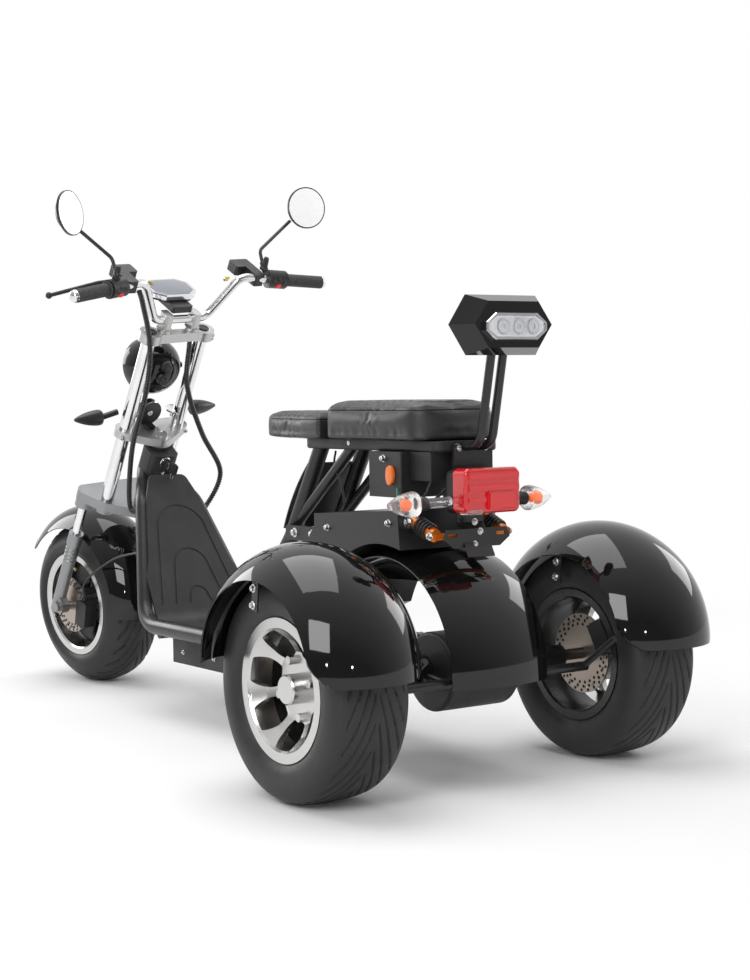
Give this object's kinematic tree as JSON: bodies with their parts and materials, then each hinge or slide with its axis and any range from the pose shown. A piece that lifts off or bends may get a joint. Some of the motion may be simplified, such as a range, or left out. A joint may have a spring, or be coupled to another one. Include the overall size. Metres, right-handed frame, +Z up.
{
  "type": "three-wheeled electric scooter",
  "caption": "Fat-tyred electric three-wheeler with a sprung fork, bowl mudguards, a two-piece saddle and a backrest on bent posts.",
  "frame": {"origin": "on the floor, under the middle of the overall box", "axes": "+X forward, +Y to the left, +Z up; the front wheel is turned 7.5 degrees to the left at rest, as pictured"},
  "size_m": [2.1537, 1.0264, 1.341],
  "materials": {
    "frame_paint": "satin",
    "gloss_black": "gloss",
    "matt_black": "matt",
    "seat_leather": "semi-matt",
    "tyre": "matt",
    "grip_rubber": "matt",
    "alloy": "polished",
    "cast_alloy": "satin",
    "chrome": "polished",
    "disc_steel": "ground",
    "motor_paint": "satin",
    "red_lens": "clear red",
    "clear_lens": "clear",
    "shock_black": "gloss",
    "mirror_glass": "mirror"
  },
  "bodies": {
    "frame": {"backrest_lamp": "clear_lens", "backrest_posts": "frame_paint", "backrest_shell": "gloss_black", "battery_box": "frame_paint", "centre_rear_guard": "gloss_black", "drive_motor": "motor_paint", "electrics_box": "matt_black", "footboard": "matt_black", "front_saddle": "seat_leather", "guard_stays": "frame_paint", "left_rear_guard": "gloss_black", "main_frame": "frame_paint", "neck_cover": "matt_black", "plate_bracket": "frame_paint", "rear_axle": "frame_paint", "rear_calipers": "frame_paint", "rear_case": "matt_black", "rear_indicators": "clear_lens", "rear_saddle": "seat_leather", "rear_shocks": "shock_black", "right_rear_guard": "gloss_black", "seat_front_cover": "matt_black", "seat_pan": "matt_black", "swing_arm": "frame_paint", "tail_lamp_base": "matt_black", "tail_lamp_lens": "red_lens"},
    "steering": {"brake_masters": "matt_black", "control_conduits": "grip_rubber", "display": "gloss_black", "fork_sliders": "cast_alloy", "fork_tubes": "chrome", "front_brake_hose": "grip_rubber", "front_caliper": "frame_paint", "front_guard": "gloss_black", "front_indicators": "matt_black", "grips": "grip_rubber", "handlebar": "chrome", "headlamp": "gloss_black", "horn": "chrome", "lower_bracket": "cast_alloy", "mirror_stalks": "frame_paint", "mirrors": "mirror_glass", "steering_stem": "cast_alloy", "switch_housings": "matt_black", "top_clamp": "cast_alloy"},
    "front_wheel": {"front_tyre": "tyre", "front_rim": "alloy", "front_brake_disc": "disc_steel"},
    "rear_left_wheel": {"rear_left_tyre": "tyre", "rear_left_rim": "alloy", "rear_left_brake_disc": "disc_steel"},
    "rear_right_wheel": {"rear_right_tyre": "tyre", "rear_right_rim": "alloy", "rear_right_brake_disc": "disc_steel"}
  },
  "joints": [
    {"name": "steering", "type": "hinge", "parent": "frame", "child": "steering", "pos_m": [0.76332, 0, 0.225], "axis": [-0.5232, 0, 0.8522], "range_deg": [-45, 35], "deforming": ["control_conduits", "front_brake_hose"]},
    {"name": "front_wheel_spin", "type": "hinge", "parent": "steering", "child": "front_wheel", "pos_m": [0.85195, 0.00992, 0.22466], "axis": [-0.1112, 0.9914, -0.0683], "continuous": true},
    {"name": "rear_left_wheel_spin", "type": "hinge", "parent": "frame", "child": "rear_left_wheel", "pos_m": [-0.8115, 0.374, 0.225], "axis": [0, 1, 0], "continuous": true},
    {"name": "rear_right_wheel_spin", "type": "hinge", "parent": "frame", "child": "rear_right_wheel", "pos_m": [-0.8115, -0.374, 0.225], "axis": [0, 1, 0], "continuous": true}
  ]
}
